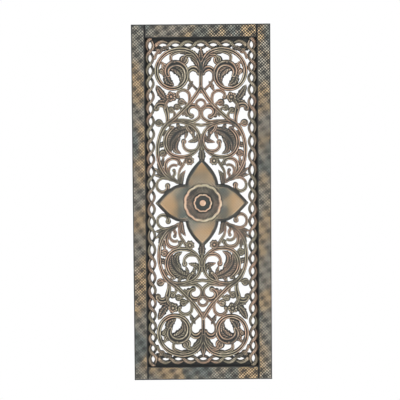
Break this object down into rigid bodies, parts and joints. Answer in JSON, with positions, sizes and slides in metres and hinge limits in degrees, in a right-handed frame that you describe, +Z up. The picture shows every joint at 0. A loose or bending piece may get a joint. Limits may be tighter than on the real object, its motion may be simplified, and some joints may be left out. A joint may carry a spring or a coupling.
{
  "type": "carved wall panel",
  "caption": "Tall openwork wall panel of carved wood: pierced leaf scrollwork round a lotus with pointed petals, edged by a twisted chain, in a plain flat frame.",
  "frame": {"origin": "middle of the back of the top rail, where the panel hangs on the wall", "axes": "+Z up along the panel's height, +X across it to the viewer's right, +Y from the back into the wall, so the carved face looks along -Y"},
  "size_m": [0.35, 0.02, 0.9],
  "materials": {
    "carved_wood": "blackened green-blue patina, rubbed back to bronze on the ridges, low sheen",
    "frame_wood": "cross-hatched with a small gouge, dark wash mottled with olive, brown and teal, rubbed back on the ridges"
  },
  "bodies": {
    "root": {"openwork": "carved_wood", "rail_top": "frame_wood", "rail_bottom": "frame_wood", "stile_left": "frame_wood", "stile_right": "frame_wood"}
  },
  "joints": []
}
